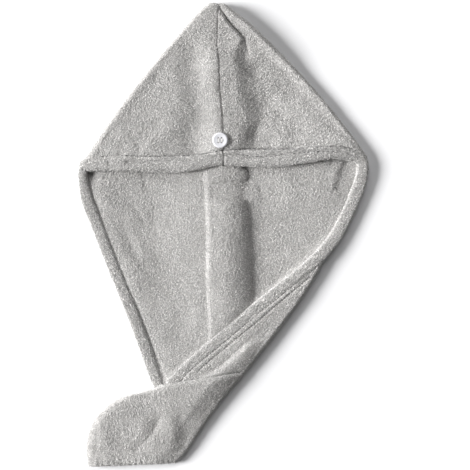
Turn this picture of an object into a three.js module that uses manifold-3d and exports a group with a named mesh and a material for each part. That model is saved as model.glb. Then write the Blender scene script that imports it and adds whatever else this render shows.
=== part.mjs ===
// A hair towel laid flat: a pointed hood with an open face, a back panel that narrows to a folded tail,
// the sewn hem around the face opening, and the button that the tail's loop catches on.
// Millimetres. +X to the right, +Y towards the hood's tip, +Z up from the surface that it lies on.
import * as THREE from 'three';
import * as BufferGeometryUtils from 'three/addons/utils/BufferGeometryUtils.js';
import Module from 'manifold-3d';

const wasm = await Module();
wasm.setup();

// Cloth
const CLOTH = 3; // thickness of the napped cloth
const GAP = 0.35; // clear space between separate pieces
const SEAT = CLOTH / 2; // height of the middle of the cloth that lies on the surface
const FOLD_INSET = CLOTH / 2 + 0.7; // the upper layer folds down just inside the lower one's edge
const END_INSET = 0.05; // as FOLD_INSET, at the tip and at the tail's end, in rows of STATIONS
const FOLD_REACH = 24; // how far in from a folded edge the upper layer is still rising

// Side edges of the cloth, one row per station from the tip to the tail's end.
// left and right are where the cloth ends; flap is where the turned-over side ends, as a share of the row.
const STATIONS = [
  { at: 'tip', leftX: -20, leftY: 311.5, rightX: 3, rightY: 309.5, flap: 1 },
  { at: 'hood', leftX: -34, leftY: 300, rightX: 15, rightY: 300, flap: 1 },
  { at: 'hood', leftX: -52, leftY: 280, rightX: 40, rightY: 280, flap: 1 },
  { at: 'hood', leftX: -89, leftY: 237, rightX: 84, rightY: 237, flap: 1 },
  { at: 'hood', leftX: -124, leftY: 193, rightX: 125, rightY: 193, flap: 1 },
  { at: 'hood', leftX: -156, leftY: 150, rightX: 160, rightY: 150, flap: 1 },
  { at: 'hood', leftX: -180, leftY: 113, rightX: 188, rightY: 113, flap: 1 },
  { at: 'corners', leftX: -193, leftY: 90, rightX: 193, rightY: 99, flap: 1 },
  { at: 'panel', leftX: -183, leftY: 76, rightX: 180, rightY: 80, flap: 1 },
  { at: 'panel', leftX: -180, leftY: 55, rightX: 172, rightY: 56, flap: 1 },
  { at: 'panel', leftX: -171, leftY: 27, rightX: 160, rightY: 27, flap: 1 },
  { at: 'panel', leftX: -159, leftY: -2, rightX: 146, rightY: -2, flap: 1 },
  { at: 'panel', leftX: -152, leftY: -20, rightX: 138, rightY: -20, flap: 1 },
  { at: 'flap', leftX: -144, leftY: -39, rightX: 133, rightY: -39, flap: 0.965 },
  { at: 'flap', leftX: -136, leftY: -58, rightX: 122, rightY: -58, flap: 0.93 },
  { at: 'flap', leftX: -126, leftY: -85, rightX: 105, rightY: -85, flap: 0.85 },
  { at: 'flap', leftX: -115, leftY: -112, rightX: 85, rightY: -112, flap: 0.755 },
  { at: 'flap', leftX: -105, leftY: -136, rightX: 67, rightY: -136, flap: 0.65 },
  { at: 'flap', leftX: -97, leftY: -158, rightX: 50, rightY: -158, flap: 0.55 },
  { at: 'flap', leftX: -91, leftY: -178, rightX: 38, rightY: -173, flap: 0.45 },
  { at: 'mouth', leftX: -94, leftY: -207.5, rightX: 26, rightY: -187, flap: 0.33 },
  { at: 'tail', leftX: -139, leftY: -222, rightX: 7, rightY: -210, flap: 0.26 },
  { at: 'tail', leftX: -168, leftY: -241, rightX: -13, rightY: -236, flap: 0.2 },
  { at: 'tail', leftX: -180, leftY: -261, rightX: -31, rightY: -262, flap: 0.16 },
  { at: 'tail', leftX: -185, leftY: -284, rightX: -47, rightY: -287, flap: 0.14 },
  { at: 'end', leftX: -183, leftY: -311.3, rightX: -64, rightY: -306, flap: 0.14 },
];
const rowOf = (name) => STATIONS.findIndex((station) => station.at === name);
const CORNER_ROW = rowOf('corners');
const FLAP_ROW = rowOf('flap');
const MOUTH_ROW = rowOf('mouth');
const END_ROW = STATIONS.length - 1;

// Hood: the upper layer stands this far above the lower one
const HOOD_RISE = 13;
const TIP_RISE = 11;
const NARROW_REACH = 0.45; // the most of a row's width that one side's fold takes, near the tip
const TIP_REACH = 0.04; // share of the hood's length over which the tip closes
const RISE_LENGTH = 0.45; // share of the hood's length over which it reaches its full height
const HEM_SHAPES_FROM = 0.4; // share of the hood's length past which its rows bend to the hem's line
const SEAM_X = -9; // the sewn seam from the tip to the button
const SEAM_RIDGE = { x: -28, reach: 13, height: 2.5 };
const SEAM_VALLEY = { x: 27, reach: 16, height: -3 };
const RELIEF_LENGTH = 0.5; // share of the hood's length over which ridge and valley grow
const PRESSED_REACH = 15; // how far around its middle the button presses the ridge flat

// Back panel: the standing crease down its middle
const CREASE = { x: -22, steepReach: 5, gentleReach: 50, height: 8.5 };
const CREASE_FROM = 140;
const CREASE_FULL = 90;
const CREASE_LOW = -50;
const CREASE_TO = -95;

// Turned-over side and tail
const FLAP_RISE = 6.5;
const FLAP_REACH = 12;
const FLAP_STOP = 0.5; // rows short of the tail's end where the turned-over layer ends
const TAIL_RISE = 14;
const TAIL_END_RISE = 7.5;
const TAIL_REACH = 20;
const TAIL_LENGTH = 115;
const TAIL_END_REACH = 0.06; // share of the tail's length over which its end closes
const GATHER_LENGTH = 26; // the drawn-in band at the tail's end
const GATHER_FOLDS = 8;
const GATHER_DEPTH = 1.2;

// Hem: the edge turned in and sewn, one flat band round the face opening. z is the band's middle.
const HEM = { width: 15.5, height: 7, roundness: 2.6, sides: 8 };
const FRONT_HEM = [
  { x: -192.5, y: 92.5, z: 6.5 },
  { x: -182, y: 94.5, z: 9 },
  { x: -163, y: 96, z: 11 },
  { x: -112, y: 95.5, z: 14 },
  { x: -56, y: 93.5, z: 15 },
  { x: -16, y: 101, z: 15.5 },
  { x: 42, y: 101, z: 15 },
  { x: 103, y: 105, z: 15 },
  { x: 146, y: 112.5, z: 13.5 },
  { x: 168, y: 110.5, z: 11.5 },
  { x: 190, y: 101.5, z: 7.5 },
];
const LEFT_HEM = [
  { x: -188.5, y: 83.5, z: 3.6 },
  { x: -187.5, y: 66, z: 3.6 },
  { x: -183, y: 44, z: 3.6 },
  { x: -171, y: 14, z: 3.6 },
  { x: -158, y: -20, z: 3.6 },
  { x: -139, y: -67, z: 3.6 },
  { x: -121.5, y: -110, z: 3.6 },
  { x: -104, y: -157, z: 3.6 },
  { x: -94.5, y: -187, z: 3.6 },
  { x: -92, y: -195, z: 3.6 },
];
const RIGHT_HEM = [
  { x: 188.5, y: 91.5, z: 3.6 },
  { x: 185, y: 75, z: 3.6 },
  { x: 177, y: 53, z: 3.6 },
  { x: 164.5, y: 24, z: 3.6 },
  { x: 150, y: -2, z: 5 },
  { x: 134, y: -23, z: 8 },
  { x: 115, y: -40, z: 9 },
  { x: 92, y: -59, z: 9 },
  { x: 56, y: -88, z: 9 },
  { x: 22, y: -116, z: 9 },
  { x: -16, y: -150, z: 9 },
  { x: -46, y: -175, z: 9 },
  { x: -70, y: -199, z: 9 },
];
const HEM_STEP = 15; // length of one facet along a hem

// Button and its thread
const BUTTON = {
  x: -4.6, y: 127.4, radius: 10.5, height: 3.6, rim: 1.9, dish: 1.2, edge: 0.9,
  holeRadius: 1.15, holeSpacingX: 4.4, holeSpacingY: 5.2,
};
const THREAD = { radius: 0.7, padRadius: 3.8, leastPad: 1, crown: 0.9 };

// Flat sides that stand in for each round, and each cloth wall's grid: rows for each station, and columns
const SIDES = { button: 28, rimArc: 3, hole: 10, pad: 20, leg: 8 };
const LOWER_GRID = { rows: 2, columns: 12 };
const HOOD_GRID = { rows: 2, columns: 24 };
const FLAP_GRID = { rows: 2, columns: 4 };
const TAIL_GRID = { rows: 3, columns: 22 };
const SAME_CORNER = 1e-3; // corners closer than this are one

const mix = (a, b, t) => a + (b - a) * t;
const clamp01 = (t) => Math.min(Math.max(t, 0), 1);
const smooth = (t) => clamp01(t) ** 2 * (3 - 2 * clamp01(t));
const bell = (distance, reach) => Math.exp(-((distance / reach) ** 2));

// Catmull-Rom value of one column of a table, at a row number that may lie between rows
function along(table, column, row) {
  const last = table.length - 1;
  const i = Math.min(Math.floor(row), last - 1);
  const t = row - i;
  const value = (k) => table[Math.min(Math.max(k, 0), last)][column];
  const [p0, p1, p2, p3] = [value(i - 1), value(i), value(i + 1), value(i + 2)];
  return p1 + 0.5 * t * (p2 - p0 + t * (2 * p0 - 5 * p1 + 4 * p2 - p3 + t * (3 * (p1 - p2) + p3 - p0)));
}

// Both ends of the cloth's row, drawn in by inset
function rowEnds(row, inset = 0) {
  const left = new THREE.Vector2(along(STATIONS, 'leftX', row), along(STATIONS, 'leftY', row));
  const right = new THREE.Vector2(along(STATIONS, 'rightX', row), along(STATIONS, 'rightY', row));
  const inward = right.clone().sub(left).normalize().multiplyScalar(inset);
  return { left: left.add(inward), right: right.sub(inward) };
}

// Quarter-ellipse rise of an upper layer, from 0 at its folded edge to 1 at reach from the edge
const foldRise = (distance, reach) => Math.sqrt(1 - (1 - clamp01(distance / reach)) ** 2);

// Grid lines over 0 to 1, closer together near both ends, where the layers fold over
const CROWDING = 0.55;
const crowded = (t) => mix(t, (1 - Math.cos(Math.PI * t)) / 2, CROWDING);

// A cloth wall: the middle surface middle(u, v), moved half the thickness each way along its normals
function clothWall(middle, rows, columns, thickness = CLOTH) {
  const step = 1e-3;
  const vertices = [];
  for (const side of [1, -1]) {
    for (let r = 0; r <= rows; r++) {
      for (let c = 0; c <= columns; c++) {
        const [u, v] = [c / columns, r / rows];
        const across = middle(Math.min(u + step, 1), v).sub(middle(Math.max(u - step, 0), v));
        const down = middle(u, Math.min(v + step, 1)).sub(middle(u, Math.max(v - step, 0)));
        const normal = down.cross(across).normalize();
        vertices.push(...middle(u, v).addScaledVector(normal, (side * thickness) / 2));
      }
    }
  }
  const width = columns + 1;
  const layer = width * (rows + 1);
  const faces = [];
  const quad = (a, b, c, d) => faces.push(a, b, c, a, c, d);
  for (let r = 0; r < rows; r++) {
    for (let c = 0; c < columns; c++) {
      const i = r * width + c;
      quad(i, i + width, i + width + 1, i + 1);
      quad(layer + i, layer + i + 1, layer + i + width + 1, layer + i + width);
    }
  }
  for (let c = 0; c < columns; c++) {
    const end = rows * width + c;
    quad(c, c + 1, layer + c + 1, layer + c);
    quad(end + 1, end, layer + end, layer + end + 1);
  }
  for (let r = 0; r < rows; r++) {
    const [left, right] = [r * width, r * width + columns];
    quad(left + width, left, layer + left, layer + left + width);
    quad(right, right + width, layer + right + width, layer + right);
  }
  return indexed(vertices, faces);
}

function indexed(vertices, faces) {
  const geometry = new THREE.BufferGeometry();
  geometry.setAttribute('position', new THREE.Float32BufferAttribute(vertices, 3));
  geometry.setIndex(faces);
  return geometry;
}

// A flat band with rounded sides, carried along a curve through the table's points, with closed ends.
// clearance swells it on every side, for the cut that it rests in.
function band(table, clearance = 0) {
  const { width, height, roundness, sides } = HEM;
  const points = table.map(({ x, y, z }) => new THREE.Vector3(x, y, z));
  const path = new THREE.CatmullRomCurve3(points, false, 'centripetal');
  const steps = Math.round(path.getLength() / HEM_STEP);
  const up = new THREE.Vector3(0, 0, 1);
  const rounded = (value) => Math.sign(value) * Math.abs(value) ** (2 / roundness);
  const vertices = [];
  for (let i = 0; i <= steps; i++) {
    const tangent = path.getTangentAt(i / steps);
    const outwards = Number(i === steps) - Number(i === 0);
    const centre = path.getPointAt(i / steps).addScaledVector(tangent, outwards * clearance);
    const side = tangent.cross(up).normalize();
    for (let k = 0; k < sides; k++) {
      const angle = (2 * Math.PI * (k + 0.5)) / sides;
      const point = centre.clone().addScaledVector(side, rounded(Math.cos(angle)) * (width / 2 + clearance));
      vertices.push(...point.addScaledVector(up, rounded(Math.sin(angle)) * (height / 2 + clearance)));
    }
  }
  const faces = [];
  for (let i = 0; i < steps; i++) {
    for (let k = 0; k < sides; k++) {
      const [a, b] = [i * sides + k, i * sides + ((k + 1) % sides)];
      faces.push(a, b + sides, b, a, a + sides, b + sides);
    }
  }
  for (let k = 1; k < sides - 1; k++) {
    const end = steps * sides;
    faces.push(0, k, k + 1, end, end + k + 1, end + k);
  }
  return indexed(vertices, faces);
}

function toSolid(geometry) {
  const plain = geometry.clone();
  plain.deleteAttribute('normal');
  plain.deleteAttribute('uv');
  const merged = BufferGeometryUtils.mergeVertices(plain, SAME_CORNER / 10);
  const vertProperties = new Float32Array(merged.attributes.position.array);
  const triVerts = new Uint32Array(merged.index.array);
  return new wasm.Manifold(new wasm.Mesh({ numProp: 3, vertProperties, triVerts }));
}

// Joins and cuts leave some corners almost on each other: those are made one
function toGeometry(solid) {
  const { vertProperties, triVerts } = solid.getMesh();
  const merged = BufferGeometryUtils.mergeVertices(indexed(vertProperties, [...triVerts]), SAME_CORNER);
  const corners = merged.index.array;
  const faces = [];
  for (let i = 0; i < corners.length; i += 3) {
    const [a, b, c] = corners.slice(i, i + 3);
    if (a !== b && b !== c && c !== a) faces.push(a, b, c);
  }
  const geometry = indexed(merged.attributes.position.array, faces).toNonIndexed();
  geometry.computeVertexNormals();
  return geometry;
}

// Height of the standing crease at a point of the back panel: steep on its left, gentle on its right
function creaseHeight(x, y) {
  const reach = x < CREASE.x ? CREASE.steepReach : CREASE.gentleReach;
  const across = smooth(1 - Math.abs(x - CREASE.x) / reach);
  const top = smooth((CREASE_FROM - y) / (CREASE_FROM - CREASE_FULL));
  const foot = smooth((y - CREASE_TO) / (CREASE_LOW - CREASE_TO));
  return CREASE.height * across * top * foot;
}

// Lower layer: the whole outline, flat on the surface apart from the crease.
// A third of the grid's columns lie over the crease where a row crosses it.
function lowerLayer(u, v) {
  const { left, right } = rowEnds(v * END_ROW);
  const shareAt = (x, least, most) => Math.min(Math.max((x - left.x) / (right.x - left.x), least), most);
  const near = shareAt(CREASE.x - CREASE.steepReach, 0.2, 0.65);
  const knots = [0, near, shareAt(CREASE.x + CREASE.gentleReach, near + 0.1, 0.85), 1];
  const third = Math.min(Math.floor(3 * u), 2);
  const share = mix(knots[third], knots[third + 1], 3 * u - third);
  const [x, y] = [mix(left.x, right.x, share), mix(left.y, right.y, share)];
  return new THREE.Vector3(x, y, SEAT + creaseHeight(x, y));
}

// The line where the hood's cloth meets its hem, just above the hem band
function hemLine(x) {
  const i = Math.max(1, FRONT_HEM.findIndex((point, k) => point.x > x || k === FRONT_HEM.length - 1));
  const [a, b] = [FRONT_HEM[i - 1], FRONT_HEM[i]];
  return mix(a.y, b.y, (x - a.x) / (b.x - a.x)) + HEM.width / 2 + GAP;
}

// Upper layer of the hood: domed between its folded sides, with the seam's ridge and the valley beside it
function hoodLayer(u, v) {
  const { left, right } = rowEnds(mix(END_INSET, CORNER_ROW, v), FOLD_INSET);
  const share = crowded(u);
  const width = left.distanceTo(right);
  const x = mix(left.x, right.x, share);
  const level = mix(left.y, right.y, share);
  const lastRow = rowEnds(CORNER_ROW, FOLD_INSET);
  const lastShare = (x - lastRow.left.x) / (lastRow.right.x - lastRow.left.x);
  const lastLevel = mix(lastRow.left.y, lastRow.right.y, lastShare);
  const side = Math.min(share, 1 - share) * width;
  const nearHem = smooth((v - HEM_SHAPES_FROM) / (1 - HEM_SHAPES_FROM)) * smooth(side / FOLD_REACH);
  const y = level + (hemLine(x) - lastLevel) * nearHem;
  const reach = Math.min(FOLD_REACH, NARROW_REACH * width);
  const rise = mix(TIP_RISE, HOOD_RISE, smooth(v / RISE_LENGTH));
  const crown = foldRise(side, reach) * foldRise(v, TIP_REACH);
  const ridge = SEAM_RIDGE.height * bell(x - mix(SEAM_X, SEAM_RIDGE.x, v), SEAM_RIDGE.reach);
  const valley = SEAM_VALLEY.height * bell(x - mix(SEAM_X, SEAM_VALLEY.x, v), SEAM_VALLEY.reach);
  const pressed = bell(Math.hypot(x - BUTTON.x, y - BUTTON.y), PRESSED_REACH);
  const relief = (ridge + valley) * smooth(v / RELIEF_LENGTH) * smooth(side / FOLD_REACH) * (1 - pressed);
  return new THREE.Vector3(x, y, SEAT + (rise + relief) * crown);
}

// The right side turned over onto the panel, running on into the tail as its middle layer
function flapLayer(u, v) {
  const row = mix(FLAP_ROW, END_ROW - FLAP_STOP, v);
  const { left, right } = rowEnds(row, FOLD_INSET);
  const share = mix(along(STATIONS, 'flap', row), 1, Math.sin((Math.PI / 2) * u));
  const width = left.distanceTo(right);
  const [x, y] = [mix(left.x, right.x, share), mix(left.y, right.y, share)];
  return new THREE.Vector3(x, y, SEAT + FLAP_RISE * foldRise((1 - share) * width, FLAP_REACH));
}

// Upper layer of the tail, folded down at both sides and drawn in at its end
function tailLayer(u, v) {
  const { left, right } = rowEnds(mix(MOUTH_ROW, END_ROW - END_INSET, v), FOLD_INSET);
  const share = crowded(u);
  const width = left.distanceTo(right);
  const [x, y] = [mix(left.x, right.x, share), mix(left.y, right.y, share)];
  const side = Math.min(share, 1 - share) * width;
  const gathered = smooth(1 - ((1 - v) * TAIL_LENGTH) / GATHER_LENGTH);
  const folds = GATHER_DEPTH * gathered * Math.cos(2 * Math.PI * GATHER_FOLDS * share);
  const rise = mix(TAIL_RISE, TAIL_END_RISE, smooth(v)) + folds * smooth(side / TAIL_REACH);
  return new THREE.Vector3(x, y, SEAT + rise * foldRise(side, TAIL_REACH) * foldRise(1 - v, TAIL_END_REACH));
}

function clothSolid() {
  const layers = [
    clothWall(lowerLayer, LOWER_GRID.rows * END_ROW, LOWER_GRID.columns),
    clothWall(hoodLayer, HOOD_GRID.rows * CORNER_ROW, HOOD_GRID.columns),
    clothWall(flapLayer, FLAP_GRID.rows * (END_ROW - FLAP_ROW), FLAP_GRID.columns),
    clothWall(tailLayer, TAIL_GRID.rows * (END_ROW - MOUTH_ROW), TAIL_GRID.columns),
  ];
  const joined = layers.map(toSolid).reduce((whole, layer) => whole.add(layer));
  const seats = [FRONT_HEM, LEFT_HEM, RIGHT_HEM].map((table) => toSolid(band(table, GAP)));
  return seats.reduce((whole, seat) => whole.subtract(seat), joined);
}

const holePlaces = [-1, 1].flatMap((i) => [-1, 1].map((k) => [
  (i * BUTTON.holeSpacingX) / 2,
  (k * BUTTON.holeSpacingY) / 2,
]));

// A round peg along Z, from low to high
function peg(radius, low, high, x, y, sides) {
  const cylinder = new THREE.CylinderGeometry(radius, radius, high - low, sides);
  cylinder.rotateX(Math.PI / 2);
  cylinder.translate(x, y, (low + high) / 2);
  return toSolid(cylinder);
}

// The highest point of the cloth inside a circle round the button's middle
function clothTop(cloth, radius) {
  const column = peg(radius, 0, 2 * HOOD_RISE, BUTTON.x, BUTTON.y, SIDES.button);
  return cloth.intersect(column).boundingBox().max[2];
}

// Turned profile of the button: flat foot, rounded side, raised rim and dished middle
function buildButton() {
  const { radius, height, rim, dish, edge, holeRadius } = BUTTON;
  const profile = new THREE.Path();
  profile.moveTo(0, 0);
  profile.lineTo(radius - 2 * edge, 0);
  profile.quadraticCurveTo(radius, 0, radius, height / 2);
  profile.quadraticCurveTo(radius, height, radius - rim, height);
  profile.quadraticCurveTo(radius - 1.5 * rim, height, radius - 2 * rim, height - dish);
  profile.lineTo(0, height - dish);
  const turned = new THREE.LatheGeometry(profile.getPoints(SIDES.rimArc), SIDES.button);
  turned.rotateX(Math.PI / 2);
  const holes = holePlaces.map(([x, y]) => peg(holeRadius, -height, 2 * height, x, y, SIDES.hole));
  return toGeometry(holes.reduce((disc, hole) => disc.subtract(hole), toSolid(turned)));
}

// Thread: a wound pad between the cloth and the button, a leg up each hole and two stitches across the top
function buildThread(padFoot) {
  const { radius, padRadius, crown } = THREAD;
  const top = BUTTON.height - BUTTON.dish + GAP;
  const pieces = [peg(padRadius, padFoot, -GAP, 0, 0, SIDES.pad)];
  for (const [x, y] of holePlaces) {
    pieces.push(peg(radius, padFoot, top + crown, x, y, SIDES.leg));
  }
  for (const side of [-1, 1]) {
    const stitch = new THREE.BoxGeometry(2 * radius, BUTTON.holeSpacingY, crown);
    stitch.translate((side * BUTTON.holeSpacingX) / 2, 0, top + crown / 2);
    pieces.push(toSolid(stitch));
  }
  return toGeometry(pieces.reduce((whole, piece) => whole.add(piece)));
}

const towelling = new THREE.MeshStandardMaterial({ color: 0xb4b2af, roughness: 0.97, metalness: 0 });
const hemCloth = new THREE.MeshStandardMaterial({ color: 0xbbb9b6, roughness: 0.97, metalness: 0 });
const buttonPlastic = new THREE.MeshStandardMaterial({ color: 0xe9e8ec, roughness: 0.35, metalness: 0 });
const whiteThread = new THREE.MeshStandardMaterial({ color: 0xf2f1ef, roughness: 0.8, metalness: 0 });

function named(name, geometry, material) {
  const mesh = new THREE.Mesh(geometry, material);
  mesh.name = name;
  return mesh;
}

const cloth = clothSolid();
const padFoot = clothTop(cloth, THREAD.padRadius) + GAP;
const buttonFoot = Math.max(clothTop(cloth, BUTTON.radius), padFoot + THREAD.leastPad) + GAP;

const towel = new THREE.Group();
towel.add(named('towel_cloth', toGeometry(cloth), towelling));
towel.add(named('front_hem', band(FRONT_HEM), hemCloth));
towel.add(named('left_hem', band(LEFT_HEM), hemCloth));
towel.add(named('right_hem', band(RIGHT_HEM), hemCloth));

const fastening = new THREE.Group();
fastening.position.set(BUTTON.x, BUTTON.y, buttonFoot);
fastening.add(named('button', buildButton(), buttonPlastic));
fastening.add(named('button_thread', buildThread(padFoot - buttonFoot), whiteThread));
towel.add(fastening);

export default towel;
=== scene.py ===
import bpy
import numpy as np
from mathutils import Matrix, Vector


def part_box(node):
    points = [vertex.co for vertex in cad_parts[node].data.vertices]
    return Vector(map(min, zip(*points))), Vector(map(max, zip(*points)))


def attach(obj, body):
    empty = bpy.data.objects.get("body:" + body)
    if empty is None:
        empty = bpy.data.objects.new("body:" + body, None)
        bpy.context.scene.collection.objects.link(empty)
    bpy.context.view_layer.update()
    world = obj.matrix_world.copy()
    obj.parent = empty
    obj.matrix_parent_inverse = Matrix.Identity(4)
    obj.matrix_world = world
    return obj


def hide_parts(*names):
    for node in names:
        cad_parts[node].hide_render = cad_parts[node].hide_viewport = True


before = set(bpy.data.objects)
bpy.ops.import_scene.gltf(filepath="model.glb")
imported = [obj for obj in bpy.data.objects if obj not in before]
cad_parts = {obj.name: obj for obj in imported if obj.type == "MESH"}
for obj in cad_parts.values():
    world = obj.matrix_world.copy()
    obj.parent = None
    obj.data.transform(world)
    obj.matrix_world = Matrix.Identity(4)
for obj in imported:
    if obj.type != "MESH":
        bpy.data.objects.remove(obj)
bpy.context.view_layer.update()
MM = 0.001


# Camera. It looks straight down from 3 m through a long lens, and the picture's width takes in 634.5 mm of
# floor. The tip of the hood is at the top of the picture.
FLOOR_SEEN = 0.6345
CAMERA_HEIGHT = 3.0
camera_data = bpy.data.cameras.new("camera")
camera_data.sensor_width = 36
camera_data.lens = camera_data.sensor_width * CAMERA_HEIGHT / FLOOR_SEEN
camera_data.clip_end = 30
camera = bpy.data.objects.new("camera", camera_data)
camera.location = (0.0153, 0.0003, CAMERA_HEIGHT)
bpy.context.scene.collection.objects.link(camera)
bpy.context.scene.camera = camera
bpy.context.scene.view_settings.view_transform = "Standard"


# Light. A broad soft lamp stands low on the left and rakes across the pile. A wider, weaker one fills from
# beyond the hood's tip, and a plain white room lightens the rest of the shadows.
def lamp(name, strength, elevation, turn, width):
    """A distant lamp: angles in degrees, turn 0 on the left and 90 beyond the tail."""
    data = bpy.data.lights.new(name, "SUN")
    data.energy = strength
    data.angle = np.radians(width)
    light = bpy.data.objects.new(name, data)
    light.rotation_euler = (0, np.radians(90 - elevation), np.radians(turn) + np.pi)
    bpy.context.scene.collection.objects.link(light)


lamp("key", 7.2, 23, 0, 26)
lamp("fill", 1.12, 38, -90, 50)

world = bpy.data.worlds.new("room")
world.use_nodes = True
world.node_tree.nodes["Background"].inputs["Color"].default_value = (1, 1, 1, 1)
world.node_tree.nodes["Background"].inputs["Strength"].default_value = 0.09
bpy.context.scene.world = world


# Floor. A plain white board just under the towel, six metres wide. It isn't part of the towel, and takes
# its shadow.
def build(name, vertices, faces, pile=None, chart=None):
    """A mesh object from arrays: corners in millimetres, the corner numbers of each face, the lightness of
    the pile at each corner as an attribute, which on the towelling carries painted shade and painted light
    as well as random tone, and each face corner's place on a flat chart of the piece."""
    mesh = bpy.data.meshes.new(name)
    mesh.vertices.add(len(vertices))
    mesh.vertices.foreach_set("co", (np.asarray(vertices) * MM).astype(np.float32).ravel())
    faces = np.asarray(faces, np.int32)
    mesh.loops.add(faces.size)
    mesh.loops.foreach_set("vertex_index", faces.ravel())
    mesh.polygons.add(len(faces))
    mesh.polygons.foreach_set("loop_start", faces.shape[1] * np.arange(len(faces), dtype=np.int32))
    mesh.polygons.foreach_set("use_smooth", np.ones(len(faces), bool))
    mesh.update(calc_edges=True)
    if pile is not None:
        lightness = mesh.attributes.new("pile", "FLOAT", "POINT")
        lightness.data.foreach_set("value", pile.astype(np.float32).ravel())
    if chart is not None:
        mesh.uv_layers.new(name="OFBake").uv.foreach_set("vector", chart.astype(np.float32).ravel())
    piece = bpy.data.objects.new(name, mesh)
    bpy.context.scene.collection.objects.link(piece)
    return piece


def socket_values(node, **values):
    """Sets a node's own sockets by name, with _ for a space."""
    for name, value in values.items():
        node.inputs[name.replace("_", " ")].default_value = value


FLOOR_REACH = 3000
FLOOR_LEVEL = -0.2
floor_corners = [(-FLOOR_REACH, -FLOOR_REACH, FLOOR_LEVEL), (FLOOR_REACH, -FLOOR_REACH, FLOOR_LEVEL),
                 (FLOOR_REACH, FLOOR_REACH, FLOOR_LEVEL), (-FLOOR_REACH, FLOOR_REACH, FLOOR_LEVEL)]
floor = build("floor", floor_corners, [(0, 1, 2, 3)])
floor_paint = bpy.data.materials.new("white_board")
floor_paint.use_nodes = True
socket_values(floor_paint.node_tree.nodes["Principled BSDF"], Base_Color=(0.93, 0.93, 0.94, 1),
              Roughness=0.9, Specular_IOR_Level=0.1)
floor.data.materials.append(floor_paint)


# Back panel and the hood's lower layer. One piece of grey napped microfibre towelling, 3 mm thick.
# Under the hood it lies flat on the floor. Below the hood it is slack, stands a few millimetres off the
# floor, and rises in one long fold down its middle.
CLOTH = 3.0
SEAT = CLOTH / 2
# rows of the cloth: left x, left y, right x, right y, and the share of the row that isn't under the
# turned-over side
OUTLINE = np.array([
    (-20, 311.5, 3, 309.5, 1), (-34, 300, 15, 300, 1), (-52, 280, 40, 280, 1), (-89, 237, 84, 237, 1),
    (-124, 193, 125, 193, 1), (-156, 150, 160, 150, 1), (-180, 113, 188, 113, 1), (-193, 90, 193, 99, 1),
    (-183, 76, 180, 80, 1), (-180, 55, 172, 56, 1), (-171, 27, 160, 27, 1), (-159, -2, 146, -2, 1),
    (-152, -20, 138, -20, 1), (-144, -39, 133, -39, 0.965), (-136, -58, 122, -58, 0.93),
    (-126, -85, 105, -85, 0.85), (-115, -112, 85, -112, 0.755), (-105, -136, 67, -136, 0.65),
    (-97, -158, 50, -158, 0.53), (-91, -178, 38, -173, 0.39), (-89.5, -205.3, 26, -187, 0.24),
    (-139, -220.3, 7, -210, 0.22), (-168, -241, -13, -236, 0.18), (-180, -261, -31, -262, 0.16),
    (-185, -284, -47, -287, 0.14), (-183, -311.3, -64, -306, 0.14),
])
CORNER_ROW, MOUTH_ROW, END_ROW = 7, 20, 25
# lines of x and y on the panel, each from its upper end: the standing fold's left side, its foot on the
# right, the edge of the bulge beside it, the turned-over side's inner edge, the left hem's inner edge, and
# two valleys
HUMP_LEFT = [(-24.5, 150), (-24.5, 90), (-23.4, 61), (-21.8, 34), (-20.8, 7), (-20.8, -33), (-20.4, -74),
             (-18.6, -114), (-18.5, -140), (-18.5, -200)]
HUMP_FOOT = [(28, 150), (28, 101), (31, 87), (32.5, 79), (31, 70), (29, 60), (28, 50), (28.5, 43), (30, 36),
             (32, 29), (33, 12), (35, -10), (36.5, -40), (38, -74), (40, -130), (40, -200)]
PUFF_EDGE = [(33, 73), (43, 65), (49, 54), (49.5, 44), (46, 37)]
INNER_EDGE = [(180, 112), (180, 97.5), (177, 82.6), (170.5, 65), (163.8, 47.5), (153.6, 24), (142.2, 1.6),
              (135.4, -9.2), (123.3, -24), (105.7, -41.6), (86.8, -56.4), (69.3, -69.9), (50.4, -83.4),
              (32.8, -98.3), (16.6, -110.4), (3.1, -122.6), (-11.7, -134.7), (-21.2, -145.4),
              (-34.7, -157.7), (-49.5, -171.2), (-63, -184.7), (-79.2, -200.9)]
LEFT_GROOVE = [(-184, 100), (-181.8, 78.6), (-177.8, 54.9), (-172.4, 43.5), (-167, 27.3), (-158.9, 4.3),
               (-141.3, -40.2), (-123.8, -79.4), (-108.9, -115.8), (-95.4, -150.9), (-84.6, -176.6),
               (-77.9, -196.8)]
LEFT_VALLEY = [(-146.7, 28.6), (-130.5, -1.1), (-118.4, -28.1), (-99.5, -51), (-88.7, -69.9)]
RIGHT_VALLEY = [(162.4, 101.5), (157, 89.4), (153, 78.6), (148.9, 62.4), (146.2, 51.6)]
# creases in the panel: x and y of both ends, reach and depth
PANEL_CREASES = [(-110.3, 88, -103.5, 62.4, 3.5, 0.9), (-122.4, 39.4, -107.6, 19.2, 4, 0.9),
                 (-96, 28, -90, 2, 4, 0.8)]
# round swellings and dents in the panel: x, y, reach across, reach down, height
PANEL_DENTS = [(150, 70, 24, 24, 1.2), (-181, 84, 9, 10, -3.6), (-58, -130, 14, 26, -1.4)]
PANEL_INSET = 4
HUMP_HEIGHT = 11.5
HUMP_SLOPE = 44
PUFF_HEIGHT = 2.8


def along(table, row):
    """Every column of a table at row numbers that may lie between its rows: a cubic curve through the rows,
    whose slope at each row is half the difference of its two neighbours."""
    table = np.asarray(table, float)
    row = np.asarray(row, float)
    last = len(table) - 1
    i = np.clip(np.floor(row).astype(int), 0, last - 1)
    t = (row - i)[..., None]
    p0, p1, p2, p3 = (table[np.clip(i + k, 0, last)] for k in (-1, 0, 1, 2))
    return p1 + 0.5 * t * (p2 - p0 + t * (2 * p0 - 5 * p1 + 4 * p2 - p3 + t * (3 * (p1 - p2) + p3 - p0)))


def smooth(t):
    """From 0 to 1 with level ends: three t squared less two t cubed, with t held between 0 and 1."""
    t = np.clip(t, 0, 1)
    return t * t * (3 - 2 * t)


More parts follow.
